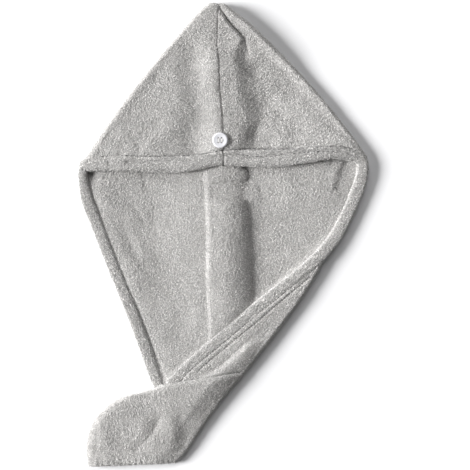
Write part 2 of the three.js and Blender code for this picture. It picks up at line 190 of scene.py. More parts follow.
def bell(distance, reach):
    """A bell: e to the power of minus the square of distance over reach."""
    return np.exp(-((distance / reach) ** 2))


def fold_rise(distance, reach):
    """Quarter of an ellipse: 0 at a folded edge, 1 at reach from it."""
    return np.sqrt(1 - (1 - np.clip(distance / reach, 0, 1)) ** 2)


def dense(line, steps=8):
    """Points of the smooth line through a table of points, steps for each of its stretches."""
    return along(line, np.linspace(0, len(line) - 1, steps * (len(line) - 1) + 1))


def x_of(line, y):
    """The x of a line that runs down the towel, at each y."""
    points = dense(line)
    return np.interp(-y, -points[:, 1], points[:, 0])


def y_of(line, x):
    """The y of a line that runs from left to right, at each x."""
    points = dense(line)
    return np.interp(x, points[:, 0], points[:, 1])


def beside(line, x, y):
    """Distance of each point from the smooth line through a table of points, positive on the right of the
    way that the line runs, and the share of the line's length at the nearest place."""
    points = dense(line, 4)
    steps = np.diff(points, axis=0)
    lengths = np.linalg.norm(steps, axis=1)
    runs = np.concatenate([[0], np.cumsum(lengths)])
    nearest = np.full(x.shape, np.inf)
    signed, share = np.zeros(x.shape), np.zeros(x.shape)
    for (x0, y0), (dx, dy), length, run in zip(points[:-1], steps, lengths, runs):
        t = np.clip(((x - x0) * dx + (y - y0) * dy) / length ** 2, 0, 1)
        off_x, off_y = x - x0 - t * dx, y - y0 - t * dy
        gap = np.hypot(off_x, off_y)
        closer = gap < nearest
        nearest = np.where(closer, gap, nearest)
        signed = np.where(closer, np.where(dx * off_y - dy * off_x < 0, gap, -gap), signed)
        share = np.where(closer, (run + t * length) / runs[-1], share)
    return signed, share


def dents(table, x, y):
    """Sum of round dents: each one's height times a bell of the distance from its middle in its reaches."""
    return sum(height * bell(np.hypot((x - middle_x) / across, (y - middle_y) / down), 1)
               for middle_x, middle_y, across, down, height in table)


def grain(x, y, size, seed):
    """Smooth noise from -1 to 1: random values at the corners of a square lattice, blended across each
    square by a fifth-degree curve."""
    values = np.random.default_rng(seed).uniform(-1, 1, (256, 256))
    px, py = x / size, y / size
    i, j = np.floor(px).astype(int), np.floor(py).astype(int)
    fx, fy = (f * f * f * (f * (6 * f - 15) + 10) for f in (px - i, py - j))
    i0, i1, j0, j1 = i % 256, (i + 1) % 256, j % 256, (j + 1) % 256
    near = values[i0, j0] * (1 - fx) + values[i1, j0] * fx
    far = values[i0, j1] * (1 - fx) + values[i1, j1] * fx
    return near * (1 - fy) + far * fy


SLANT = 0.9


def slanted(points):
    """Places to draw a pattern on: x less a share of z, and y plus it, so that the pattern doesn't stretch
    down a steep fold."""
    return points[..., 0] - SLANT * points[..., 2], points[..., 1] + SLANT * points[..., 2]


def nap(points, seed):
    """Height of the pile from about -1 to 1: crooked strands, the clumps that they lie in, and fine ends."""
    a, b = slanted(points)
    turn_a, turn_b = 3.4 * grain(a, b, 9, seed), 3.4 * grain(a, b, 9, seed + 1)
    strands = 1 - 2 * np.abs(grain(a + turn_a, 0.6 * (b + turn_b), 2.5, seed + 2))
    clumps = grain(a + 0.5 * turn_a, b, 3.4, seed + 3)
    ends = grain(a, b, 1.7, seed + 4)
    return 0.28 * strands + 0.35 * clumps + 0.55 * ends


def normals_of(middle):
    """Unit normals of a grid of points, upwards where rows run down the towel and columns to the right."""
    normal = np.cross(np.gradient(middle, axis=0), np.gradient(middle, axis=1))
    return normal / np.maximum(np.linalg.norm(normal, axis=-1, keepdims=True), 1e-9)


NAP_HEIGHT = 0.16
EDGE_ROUND = 1.6


def closed_sheet(name, middle, seed, nap_height=NAP_HEIGHT, thickness=CLOTH):
    """Cloth as one closed mesh: the grid of its middle moved half its thickness up and down along its
    normals, thinner at its rounded borders, with the pile standing on the upper face."""
    rows, columns = middle.shape[:2]
    normal = normals_of(middle)
    down = np.linalg.norm(np.diff(middle, axis=0), axis=-1)
    across = np.linalg.norm(np.diff(middle, axis=1), axis=-1)
    from_top = np.concatenate([np.zeros((1, columns)), np.cumsum(down, axis=0)])
    from_left = np.concatenate([np.zeros((rows, 1)), np.cumsum(across, axis=1)], axis=1)
    border = np.minimum(np.minimum(from_top, from_top[-1:] - from_top),
                        np.minimum(from_left, from_left[:, -1:] - from_left))
    half = thickness / 2 * (0.15 + 0.85 * fold_rise(border, EDGE_ROUND))
    pile = nap(middle, seed)
    upper = middle + normal * (half + nap_height * pile)[..., None]
    lower = middle - normal * half[..., None]
    upper[..., 2] = np.maximum(upper[..., 2], 0.1)
    lower[..., 2] = np.maximum(lower[..., 2], 0)
    corner = np.arange(rows * columns).reshape(rows, columns)
    under = corner + rows * columns

    quads = np.concatenate([np.stack(four, axis=-1).reshape(-1, 4) for four in (
        (corner[:-1, :-1], corner[1:, :-1], corner[1:, 1:], corner[:-1, 1:]),
        (under[:-1, :-1], under[:-1, 1:], under[1:, 1:], under[1:, :-1]),
        (corner[0, :-1], corner[0, 1:], under[0, 1:], under[0, :-1]),
        (corner[-1, 1:], corner[-1, :-1], under[-1, :-1], under[-1, 1:]),
        (corner[1:, 0], corner[:-1, 0], under[:-1, 0], under[1:, 0]),
        (corner[:-1, -1], corner[1:, -1], under[1:, -1], under[:-1, -1]),
    )])
    vertices = np.concatenate([upper.reshape(-1, 3), lower.reshape(-1, 3)])
    # the pile's lightness as painted shade: low on the ramp, for the shade under the pile, and higher on the
    # nap's crests than in its hollows
    height = np.concatenate([(0.2 + 0.15 * pile).ravel(), np.full(rows * columns, 0.2)])
    return build(name, vertices, quads, height), upper, normal


TUFT_LEAN = 0.9
TUFT_RISE = 0.95
TUFT_WIDTH = 1.5
# the cloth's area for each tuft, and the side of the squares over which the tufts' lightness is evened out
TUFT_AREA = 1.5
PATCH = 3.0
# painted shade at a tuft's two foot corners and at its back corner, and painted light at its tip
FOOT_PAINTED_SHADE, BACK_PAINTED_SHADE, TIP_PAINTED_LIGHT = -0.38, -0.32, 0.2


def pile_on(name, upper, normal, weight, seed, contrast=1.0):
    """The pile of a face: one leaning tuft for each stretch of its area, as a closed three-sided spike from
    a foot sunk in the cloth to a tip. The lean is random about a way that turns slowly across the cloth.
    Where weight is 0 the cloth is bare. Tufts differ in lightness, by more with contrast. Their feet are
    painted darker as painted shade, their tips lighter as painted light, and tufts on steep cloth paler as
    a painted highlight. On the chart each tuft has a square, cut in four by its diagonals."""
    draw = np.random.default_rng(seed)
    # each tuft's cell of the grid, drawn so that a cell has as many as its area gives it
    along_row, down_row = upper[:-1, 1:] - upper[:-1, :-1], upper[1:, :-1] - upper[:-1, :-1]
    cell_area = np.linalg.norm(np.cross(along_row, down_row), axis=-1) * weight[:-1, :-1]
    total = np.cumsum(cell_area.ravel())
    count = int(total[-1] / TUFT_AREA)
    cell = np.searchsorted(total, (np.arange(count) + draw.random(count)) / count * total[-1])
    cell = np.minimum(cell, cell_area.size - 1)
    r, c = np.divmod(cell, upper.shape[1] - 1)
    u, v = draw.random((2, count, 1))

    def within(grid):
        """The grid's value at a random place in each tuft's cell, blended from the cell's four corners."""
        return ((grid[r, c] * (1 - u) + grid[r, c + 1] * u) * (1 - v)
                + (grid[r + 1, c] * (1 - u) + grid[r + 1, c + 1] * u) * v)

    root, up = within(upper), within(normal)
    up = up / np.linalg.norm(up, axis=-1, keepdims=True)
    a, b = slanted(root)
    # the way that it leans, its size, and its four corners
    turn = 0.4 * grain(a, b, 17, seed + 1) + 0.8 * grain(a, b, 5, seed + 2) + 2 * draw.normal(size=count)
    lean = np.stack([np.cos(turn), np.sin(turn), np.zeros(count)], axis=-1)
    lean -= up * np.sum(lean * up, axis=-1, keepdims=True)
    lean /= np.maximum(np.linalg.norm(lean, axis=-1, keepdims=True), 1e-6)
    across = np.cross(up, lean)
    size = (0.7 + 0.6 * draw.random(count) + 0.1 * grain(a, b, 4, seed + 3))[:, None]
    rise = size * TUFT_RISE * (0.6 + 0.8 * draw.random((count, 1)))
    half = TUFT_WIDTH / 2 * size
    foot = root - up * 0.5
    corners = np.stack([
        foot + across * half, foot - across * half, foot - lean * half + up * 0.5 * rise,
        root + up * rise + lean * TUFT_LEAN * size,
    ], axis=1)
    corners[..., 2] = np.maximum(corners[..., 2], 0.05)
    faces = 4 * np.arange(count)[:, None, None] + np.array([(0, 1, 3), (1, 2, 3), (2, 0, 3), (0, 2, 1)])
    # its lightness: random, with most of each square's mean taken off, and paler on steep cloth as a painted
    # highlight, where the fuzz of the folded edges would catch light
    spread = draw.normal(size=count)
    patch = np.unique(1000 * np.floor(a / PATCH) + np.floor(b / PATCH), return_inverse=True)[1]
    spread -= 0.8 * (np.bincount(patch, spread) / np.bincount(patch))[patch]
    lightness = np.clip(0.62 + 0.24 * contrast * spread[:, None], 0.05, 1)
    lightness += 0.2 * smooth((0.4 - up[:, 2:]) / 0.4)
    squares = int(np.ceil(np.sqrt(count)))
    square = np.stack(np.divmod(np.arange(count), squares), axis=-1)[:, None, None]
    quarters = np.array([[(0.05, 0), (0.95, 0), (0.5, 0.45)], [(1, 0.05), (1, 0.95), (0.55, 0.5)],
                         [(0.95, 1), (0.05, 1), (0.5, 0.55)], [(0, 0.95), (0, 0.05), (0.45, 0.5)]])
    # painted shade at the foot and painted light at the tip of each tuft
    lightness = lightness + contrast * np.array([[FOOT_PAINTED_SHADE, FOOT_PAINTED_SHADE, BACK_PAINTED_SHADE, TIP_PAINTED_LIGHT]])
    chart = (square + quarters) / squares
    return build(name, corners.reshape(-1, 3), faces.reshape(-1, 3), lightness, chart)


def cloth_material(name, dark, light, patch, speckle, bump):
    """Napped towelling: colour from dark to light by the pile's lightness. On the towelling its dark end is
    painted shade at the pile's foot and in its hollows, and its light end painted light on the tufts' tips.
    Broad patches, where brushed nap catches the light differently, are painted darker and lighter by the
    share patch, as painted sheen, and single strands by the share speckle. It has a soft sheen, and strand
    ends as a bump of the given strength."""
    material = bpy.data.materials.new(name)
    material.use_nodes = True
    nodes, links = material.node_tree.nodes, material.node_tree.links
    shader = nodes["Principled BSDF"]
    socket_values(shader, Roughness=0.95, Specular_IOR_Level=0.12, Diffuse_Roughness=0.6, Sheen_Weight=0.6,
                  Sheen_Roughness=0.45)
    place = nodes.new("ShaderNodeTexCoord")
    height = nodes.new("ShaderNodeAttribute")
    height.attribute_name = "pile"
    tone = nodes.new("ShaderNodeValToRGB")
    tone.color_ramp.elements[0].position = 0.18
    tone.color_ramp.elements[0].color = (*dark, 1)
    tone.color_ramp.elements[1].position = 0.82
    tone.color_ramp.elements[1].color = (*light, 1)
    links.new(height.outputs["Fac"], tone.inputs["Fac"])

    def noise(scale, detail):
        """Noise texture on the piece's own coordinates."""
        texture = nodes.new("ShaderNodeTexNoise")
        texture.inputs["Scale"].default_value = scale
        texture.inputs["Detail"].default_value = detail
        links.new(place.outputs["Object"], texture.inputs["Vector"])
        return texture

    def shade(colour, texture, low, high):
        """Multiplies a colour by grey from low to high as the noise goes from 0.3 to 0.7."""
        grey = nodes.new("ShaderNodeMapRange")
        grey.inputs["From Min"].default_value = 0.3
        grey.inputs["From Max"].default_value = 0.7
        grey.inputs["To Min"].default_value = low
        grey.inputs["To Max"].default_value = high
        links.new(texture.outputs["Fac"], grey.inputs["Value"])
        product = nodes.new("ShaderNodeVectorMath")
        product.operation = "SCALE"
        links.new(colour, product.inputs[0])
        links.new(grey.outputs["Result"], product.inputs["Scale"])
        return product.outputs["Vector"]

    # painted sheen: broad patches darker and lighter, for brushed nap that catches the light differently
    colour = shade(tone.outputs["Color"], noise(28, 2), 1 - patch, 1 + patch)
    colour = shade(colour, noise(560, 1), 1 - speckle, 1 + speckle)
    links.new(colour, shader.inputs["Base Color"])
    relief = nodes.new("ShaderNodeBump")
    relief.inputs["Strength"].default_value = bump
    relief.inputs["Distance"].default_value = 0.0007
    links.new(noise(950, 4).outputs["Fac"], relief.inputs["Height"])
    links.new(relief.outputs["Normal"], shader.inputs["Normal"])
    return material


towelling = cloth_material("grey_towelling", (0.44, 0.431, 0.422), (0.92, 0.903, 0.885), 0.05, 0.19, 0.5)
ruffled = cloth_material("ruffled_towelling", (0.45, 0.441, 0.432), (0.95, 0.932, 0.914), 0.04, 0.27, 0.5)


def row_at(level):
    """Row numbers of OUTLINE whose middle lies at each level up the towel."""
    numbers = np.linspace(0, END_ROW, 2001)
    sampled = along(OUTLINE, numbers)
    return np.interp(-np.asarray(level, float), -(sampled[:, 1] + sampled[:, 3]) / 2, numbers)


def row_ends(row, left_inset=0.0, right_inset=0.0):
    """Left and right ends of the cloth's rows, drawn in by an inset."""
    ends = along(OUTLINE, row)
    left, right = ends[..., 0:2], ends[..., 2:4]
    inward = (right - left) / np.linalg.norm(right - left, axis=-1, keepdims=True)
    left = left + inward * np.asarray(left_inset)[..., None]
    return left, right - inward * np.asarray(right_inset)[..., None]


def panel_relief(x, y):
    """Height of the panel's middle above the flat: the standing fold, steep on its left and rounded or sharp
    at its foot on the right, the bulge beside it, a swelling near the front hem, valleys, creases and dents,
    and the lips along the sewn left edge and the turned-over side."""
    # the standing fold's right flank: rounded, steep at its foot by the share sharp, and soft at the bulge
    past_left = x - x_of(HUMP_LEFT, y)
    before_foot = x_of(HUMP_FOOT, y) - x
    sharp = 0.05 + 0.4 * smooth((54 - y) / 14) - 0.15 * smooth((20 - y) / 40) + 0.4 * smooth((y - 68) / 10)
    rounded = 1 - (1 - np.clip(before_foot / HUMP_SLOPE, 0, 1)) ** 2
    flank = (1 - sharp) * rounded + sharp * fold_rise(before_foot, 13)
    soft = smooth((y - 40) / 10) * smooth((78 - y) / 10)
    flank += soft * (0.75 * smooth(before_foot / 80) + 0.25 * smooth((before_foot + 2) / 20) - flank)
    # its left side: a long swell, a steep step and a crest. It grows from under the front hem, and fades
    # towards the tail and under the turned-over side.
    ramp = smooth((past_left + 3.5) / 7)
    hump = (0.46 * smooth(1 + past_left / 80) + 0.34 * ramp + 0.2 * smooth((past_left + 4) / 34)) * flank
    hump *= smooth((140 - y) / 45) * (0.6 + 0.4 * smooth((84 - y) / 44)) * (1 + 0.12 * bell(y + 35, 35))
    before_flap = beside(INNER_EDGE, x, y)[0]
    hump *= (1 - 0.35 * smooth((-70 - y) / 80)) * smooth((before_flap + 12) / 22)
    # the open panel lies a little off the floor, and swells on the right near the front hem
    height = HUMP_HEIGHT * hump + dents(PANEL_DENTS, x, y)
    near_hem = smooth((y - 14) / 46)
    pillow = 2.6 * near_hem * smooth((x - 34) / 60) * smooth((192 - x) / 80)
    height += (1.8 + 1.2 * smooth((y - 50) / 40)) * smooth((112 - y) / 12) + pillow * smooth((126 - y) / 18)
    # the bulge beside the fold: a broad round, and a low step up at its right edge
    from_puff = np.hypot(np.maximum(x - 16, 0), 1.3 * (y - 55))
    height += PUFF_HEIGHT * (1 - smooth(from_puff / 36)) * smooth((x + 30) / 60)
    off_puff, puff_share = beside(PUFF_EDGE, x, y)
    puff_fade = smooth(puff_share / 0.3) * smooth((1 - puff_share) / 0.3)
    height += smooth(0.5 + off_puff / 9) * smooth(1 - off_puff / 35) * puff_fade
    # a valley on the left, a step down on the right, and the creases
    off_valley, valley_share = beside(LEFT_VALLEY, x, y)
    height -= 1.3 * bell(off_valley, 8) * smooth(valley_share / 0.3) * smooth((1 - valley_share) / 0.4)
    off_step, step_share = beside(RIGHT_VALLEY, x, y)
    height -= 2 * smooth(0.5 - off_step / 9) * smooth(1 + off_step / 45) * smooth((1 - step_share) / 0.3)
    for start_x, start_y, end_x, end_y, reach, depth in PANEL_CREASES:
        height -= depth * bell(beside([(start_x, start_y), (end_x, end_y)], x, y)[0], reach)
    # lips: the cloth stands up beside the left hem, and rises to the turned-over side's edge
    groove = beside(LEFT_GROOVE, x, y)[0]
    lip = 1.3 * smooth(-groove / 3) + 0.9 * smooth(-groove / 13)
    height += lip * smooth((66 + groove) / 60) * smooth((84 - y) / 22)
    height += (0.3 + 1.5 * smooth((5 - y) / 30)) * smooth(1 - before_flap / 7)
    # slack of the whole panel
    height += 0.7 * grain(x, y, 62, 5) + 0.3 * grain(x, y, 27, 6)
    return np.maximum(height, 0)


# rows of the panel's grid by their level up the towel: close where the panel is in sight
panel_level = np.concatenate([
    np.linspace(310.8, 110, 16), np.arange(108, -206, -1.9), np.linspace(-208, -308.6, 16),
])
panel_row = row_at(panel_level)
under_hood = smooth((CORNER_ROW + 0.2 - panel_row) / 0.6)
under_tail = smooth((panel_row - MOUTH_ROW + 0.6) / 0.6)
under_side = smooth(panel_row - 12.5)
left_end, right_end = row_ends(panel_row, PANEL_INSET * (under_hood + under_tail),
                               PANEL_INSET * (under_hood + under_side))
panel_width = (right_end - left_end)[:, 0]


def share_at(x, least, most):
    """Where x lies in the panel's rows, as a share of their width held between two limits."""
    return np.clip((x - left_end[:, 0]) / panel_width, least, most)


hump_left_x, foot_x = x_of(HUMP_LEFT, panel_level), x_of(HUMP_FOOT, panel_level)
knot = [np.zeros(len(panel_row))]
knot.append(share_at(hump_left_x - 6, 0.15, 0.6))
knot.append(share_at(hump_left_x + 2, knot[1] + 0.03, 0.7))
knot.append(share_at(foot_x - 14, knot[2] + 0.05, 0.85))
knot.append(share_at(foot_x + 2, knot[3] + 0.03, 0.93))
knot.append(np.ones(len(panel_row)))
# columns of the panel's grid from one knot to the next: the closest ones are on the fold's steep sides
COLUMNS = (56, 9, 20, 18, 48)
panel_share = np.concatenate([
    knot[k][:, None] + (knot[k + 1] - knot[k])[:, None] * np.linspace(0, 1, count, endpoint=False)[None, :]
    for k, count in enumerate(COLUMNS)
] + [np.ones((len(panel_row), 1))], axis=1)
panel_xy = left_end[:, None] + (right_end - left_end)[:, None] * panel_share[..., None]
panel_z = SEAT + panel_relief(panel_xy[..., 0], panel_xy[..., 1])
back_panel, panel_top, panel_normal = closed_sheet("back_panel", np.dstack([panel_xy, panel_z]), 11)
panel_x, panel_y = panel_top[..., 0], panel_top[..., 1]
in_sight = (panel_y < 100) & (beside(INNER_EDGE, panel_x, panel_y)[0] > -5)
panel_pile = pile_on("back_panel_pile", panel_top, panel_normal, in_sight, 12, 1.1)
for piece in (back_panel, panel_pile):
    piece.data.materials.append(towelling)
    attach(piece, "root")
    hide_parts("towel_cloth")


# Hood's upper layer, in the two halves that are sewn together along the seam from the tip to the button.
# Each half is folded down at its outer side and under onto the floor, and its sewn side dips into the seam.
SEAM = [(-7.5, 313), (-7.5, 300), (-8.6, 262.2), (-7, 236), (-6.3, 221.7), (-5.2, 193.3), (-3.4, 177.1),
        (-1.5, 150), (-1, 115), (-0.6, 88)]
HOOD_VALLEY = [(-10.4, 313), (7.2, 285.1), (24.7, 266.2), (28.4, 256.8), (34.2, 239.2), (38.2, 223),
               (39.6, 206.8), (43.6, 179.8), (50.7, 159.6), (46.3, 142), (38.2, 115), (35.5, 90)]
HEM_TOP = [(-196, 96), (-188.6, 99), (-171, 105), (-137.3, 106.5), (-99.5, 106.6), (-59, 107.2),
           (-32, 109.6), (-0.9, 113.7), (28.8, 114.3), (62.5, 115), (103, 117.7), (136.8, 120.4),
           (157, 120.4), (165.1, 119.1), (181.3, 113), (192.1, 104)]
HEM_ROW_UPPER = [(-166, 105.5), (-144, 106.9), (-111.6, 106.2), (-75, 106.2), (-40, 107.8), (-12, 112),
                 (0, 114), (28.8, 115.6), (62.5, 115.6), (86.8, 115.8), (105.7, 116.5), (127, 118.6),
                 (158, 119), (173, 116.8)]
# round dents in the hood: x, y, reach across, reach down, height
HOOD_DENTS = [(-137, 116, 9, 9, -1.2), (-112, 116, 9, 9, -1.2), (-50, 128, 16, 22, -1.6),
              (8, 126, 5, 9, -1.5)]
HOOD_RISE = 13.5
TIP_RISE = 16.5
CORNER_DROP = 4.8
RIGHT_LOWER = 2.5
TIP_LEVEL = 310.9
# how far in from its folded side the hood still rises steeply: level, reach on the left, reach on the right
FOLD_REACH = np.array([(97, 11, 4), (115, 8, 4), (135, 6, 4), (215, 5, 4.5), (250, 5, 6), (311, 6, 6)])
# how far in the right half goes on rising gently
GENTLE_REACH = 80
# a folded side's middle is half the cloth's thickness in from the outline. It is widest at WIDEST_AT above
# the floor, and from there turns under by steps, as far as HOOD_UNDER.
FOLD_INSET = CLOTH / 2
WIDEST_AT = 4.0
TURN_STEPS = 8
HOOD_UNDER = 8.0


def hood_relief(x, y):
    """Shape of the hood's upper layer over its plain dome: a fold that rises to the seam from its left, the
    dips of the seam and of the sewn row, the valley on the right, which starts as a sharp slit at the tip,
    round dents and gentle swells."""
    # left of the seam: a dip and then a rise, which grow from the tip down
    off_seam = x - x_of(SEAM, y)
    grown = smooth((275 - y) / 45)
    rise = 5.4 * smooth((off_seam + 33) / 26) - 2.4 * smooth((off_seam + 62) / 26)
    left = grown * rise * (off_seam < 0)
    # right of it: a low rise, the valley, steep on its left and gentle on its right, and the slit at the tip
    from_valley = x - x_of(HOOD_VALLEY, y)
    at_tip = smooth((y - 236) / 32)
    left_reach = 25 - 20 * at_tip
    right_reach = 110 + 120 * at_tip
    depth = (4.1 - 1.3 * at_tip) * (1 + 0.4 * grain(x, y, 20, 23))
    slope = np.where(from_valley < 0, 1 + from_valley / left_reach, 1 - from_valley / right_reach)
    slit = 5 * at_tip * bell(from_valley - 1, 2)
    seam_to_valley = np.clip(off_seam / np.maximum(off_seam - from_valley, 1), 0, 1)
    right = (off_seam > 0) * (2 * grown * (1 - 1.7 * seam_to_valley) - depth * smooth(slope) - slit)
    # the seam, shallower at the tip and on the hem, and the sewn row
    dip = (1.9 * bell(off_seam, 1.3) + 0.3 * bell(off_seam, 5)) * (1 - 0.5 * at_tip)
    dip *= 0.25 + 0.75 * smooth((y - 114) / 8)
    off_row, row_share = beside(HEM_ROW_UPPER, x, y)
    dip += 1.8 * bell(off_row, 1.5) * smooth(row_share / 0.03) * smooth((1 - row_share) / 0.04)
    swell = 0.9 * grain(x, y, 55, 21) + 0.5 * grain(x, y, 24, 22) + 0.4 * grain(x, y, 15, 24)
    return left + right - dip + dents(HOOD_DENTS, x, y) + swell


def hood_half(name, is_left, columns, seed):
    """One half of the hood: rows of the outline from its folded side to the seam. The fold is a quarter
    ellipse down to its widest place and a second one under onto the floor, and the tip comes down to it."""
    # rows from the tip to under the hem, and columns from the turned-under edge to the seam, closer together
    # at the fold and at the seam
    at_tip = TIP_LEVEL - np.array([0, 0.1, 0.4, 0.9])
    level = np.concatenate([at_tip, np.linspace(309.3, 304, 6), np.arange(302.4, 94, -1.7)])
    row = row_at(level)
    left, right = row_ends(row, FOLD_INSET, FOLD_INSET)
    width = np.linalg.norm(right - left, axis=-1)[:, None]
    t = np.linspace(0, 1, columns)
    crowd = 0.5 * t + 0.25 * (1 - np.cos(np.pi * t))
    under = np.radians(np.linspace(-90, 0, TURN_STEPS + 1)[:-1])
    bend = np.concatenate([under, np.zeros(columns)])
    reach = np.concatenate([np.zeros(TURN_STEPS), crowd])
    last_left, last_right = row_ends(np.array([CORNER_ROW]), FOLD_INSET, FOLD_INSET)

    def place(share):
        """Point of the row at a share of it, with the lower rows bent down or up to the hem."""
        xy = left[:, None] + (right - left)[:, None] * share[..., None]
        across = (xy[..., 0] - last_left[0, 0]) / (last_right[0, 0] - last_left[0, 0])
        last = last_left[0, 1] + (last_right[0, 1] - last_left[0, 1]) * across
        side = np.minimum(share, 1 - share) * width
        near_hem = smooth((200 - level[:, None]) / 106) * smooth(side / 20)
        xy[..., 1] += (y_of(HEM_TOP, xy[..., 0]) - 6 - last) * near_hem
        return xy

    # the seam's place as a share of each row, and each column's
    middle = place(np.full((len(row), 1), 0.48))
    seam_share = (x_of(SEAM, middle[:, 0, 1]) - left[:, 0]) / (right - left)[:, 0]
    if is_left:
        share = seam_share[:, None] * reach[None, :]
    else:
        share = 1 - (1 - seam_share)[:, None] * reach[None, ::-1]
        bend = bend[::-1]
    xy = place(share)
    side = np.minimum(share, 1 - share) * width
    turned = np.minimum(HOOD_UNDER, 0.3 * width) * (1 - np.cos(bend))[None, :]
    xy += ((right - left) / width)[:, None] * (turned if is_left else -turned)[..., None]
    x, y = xy[..., 0], xy[..., 1]
    # height: the fold, the plain dome lowered at the corner and on the right, and the relief inside the fold
    fold_reach = np.interp(level, FOLD_REACH[:, 0], FOLD_REACH[:, 1 if is_left else 2])[:, None]
    fold = fold_rise(side, np.minimum(fold_reach, 0.45 * width))
    if not is_left:
        gentle = 0.42 * smooth((262 - level[:, None]) / 60) * (1 - smooth((125 - level[:, None]) / 20))
        fold = (1 - gentle) * fold + gentle * (1 - (1 - np.clip(side / GENTLE_REACH, 0, 1)) ** 1.3)
    rise = TIP_RISE + (HOOD_RISE - TIP_RISE) * smooth((311 - y) / 95)
    rise = rise - CORNER_DROP * smooth((130 - y) / 34) * smooth(1 - side / 58)
    rise = rise - RIGHT_LOWER * smooth((x - x_of(HOOD_VALLEY, y) + 30) / 70) * smooth((250 - y) / 50)
    inside = smooth(side / 22)
    dome = (rise - (WIDEST_AT - SEAT)) * fold + hood_relief(x, y) * inside
    tip = fold_rise(311.5 - level, 7)[:, None]
    z = np.where(bend < 0, WIDEST_AT + (WIDEST_AT - SEAT) * np.sin(bend), WIDEST_AT + dome * tip)
    z = SEAT + (z - SEAT) * fold_rise(TIP_LEVEL - level, 1.6)[:, None]
    half, top, normal = closed_sheet(name, np.dstack([xy, z]), seed)
    # no pile underneath, in the seam, in the sewn row, or in the slit
    open_pile = (bend[None, :] > -0.9) & ((np.abs(x - x_of(SEAM, y)) > 0.7) | (y < 116))
    open_pile &= np.abs(beside(HEM_ROW_UPPER, x, y)[0]) > 1.2
    open_pile &= (np.abs(x - x_of(HOOD_VALLEY, y)) > 1.6) | (y < 262)
    half_pile = pile_on(name + "_pile", top, normal, open_pile, seed + 1, 0.9 if is_left else 1.1)
    for piece in (half, half_pile):
        piece.data.materials.append(towelling if is_left else ruffled)
        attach(piece, "root")
        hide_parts("towel_cloth")
    return top


hood_tops = [hood_half("hood_left", True, 112, 31), hood_half("hood_right", False, 112, 41)]


# Stitches of grey thread, sunk in the pile along each sewn row, which hold the turned-in edges down.
# Each is a short rounded bar. The thread is painted much darker than grey, as painted shade of the pits in
# the pile that it lies in.
THREAD_WIDTH = 1.2


def surface_at(x, y, tops, reach=1.3):
    """Height of the highest grid point of some surfaces within reach of each place."""
    points = np.concatenate([top.reshape(-1, 3) for top in tops])
    points = points[(points[:, 0] > x.min() - 5) & (points[:, 0] < x.max() + 5)]
    near = np.hypot(points[None, :, 0] - x[:, None], points[None, :, 1] - y[:, None]) < reach
    return np.max(np.where(near, points[None, :, 2], 0), axis=1)


def tube_faces(corner):
    """Faces of closed tubes from their corner numbers, a row for each section: the sides, and at both ends a
    strip of four-sided faces across the section."""
    after = np.roll(corner, -1, axis=1)
    k = np.arange(corner.shape[1] // 2 - 1)
    return np.concatenate([
        np.stack([corner[:-1], after[:-1], after[1:], corner[1:]], axis=-1).reshape(-1, 4),
        np.stack([corner[0, k], corner[0, -1 - k], corner[0, -2 - k], corner[0, k + 1]], axis=-1),
        np.stack([corner[-1, k], corner[-1, k + 1], corner[-1, -2 - k], corner[-1, -1 - k]], axis=-1),
    ])


def stitch_row(name, line, tops, seed, palest=0.6, pitch=6.4, length=4.2, lift=0.5):
    """A row of stitches along a line of x and y: bars with six sides that narrow at both ends, laid on the
    surfaces below them, with small differences in place. A few are paler, by up to the lightness palest."""
    # both ends of each stitch, on the surfaces below
    points = dense(line)
    run = np.concatenate([[0], np.cumsum(np.linalg.norm(np.diff(points, axis=0), axis=1))])
    draw = np.random.default_rng(seed)
    middle = np.arange(pitch / 2, run[-1] - pitch / 2, pitch)
    middle = middle + 0.3 * draw.normal(size=len(middle))
    ends = middle[:, None] + np.array([-0.5, 0.5]) * length
    x, y = (np.interp(ends, run, points[:, k]) for k in (0, 1))
    z = surface_at(x.ravel(), y.ravel(), tops).reshape(x.shape) + lift - THREAD_WIDTH / 2
    start, end = (np.stack([x[:, k], y[:, k], z[:, k]], axis=-1) for k in (0, 1))
    # five sections with six corners each, narrow at both ends, and a low arch between them
    ahead = end - start
    side = np.cross(ahead, [0, 0, 1.0])
    side /= np.linalg.norm(side, axis=1, keepdims=True)
    up = np.cross(side, ahead)
    up /= np.linalg.norm(up, axis=1, keepdims=True)
    share = np.array([0, 0.18, 0.5, 0.82, 1])
    width = THREAD_WIDTH / 2 * np.array([0.2, 0.85, 1, 0.85, 0.2])
    angle = (np.pi / 3 * np.arange(6))[:, None]
    spread = side[:, None, None] * np.cos(angle) + up[:, None, None] * np.sin(angle)
    centre = start[:, None] + ahead[:, None] * share[None, :, None]
    centre[..., 2] += 0.25 * np.sin(np.pi * share)
    corners = centre[:, :, None] + spread * width[None, :, None, None]
    faces = 30 * np.arange(len(middle))[:, None, None] + tube_faces(np.arange(30).reshape(5, 6))
    tone = np.repeat(0.2 + palest * draw.random(len(middle)) ** 2, 30)
    row = build(name, corners.reshape(-1, 3), faces.reshape(-1, 4), tone)
    row.data.materials.append(sewing_thread_painted_shade)
    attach(row, "root")
    return row


# the thread's colour, near black to dark grey, is painted shade for the pits in the pile where it sinks
sewing_thread_painted_shade = cloth_material("sewing_thread_with_painted_shade", (0.06, 0.06, 0.058), (0.4, 0.395, 0.39), 0.05, 0.15,
                               0.3)


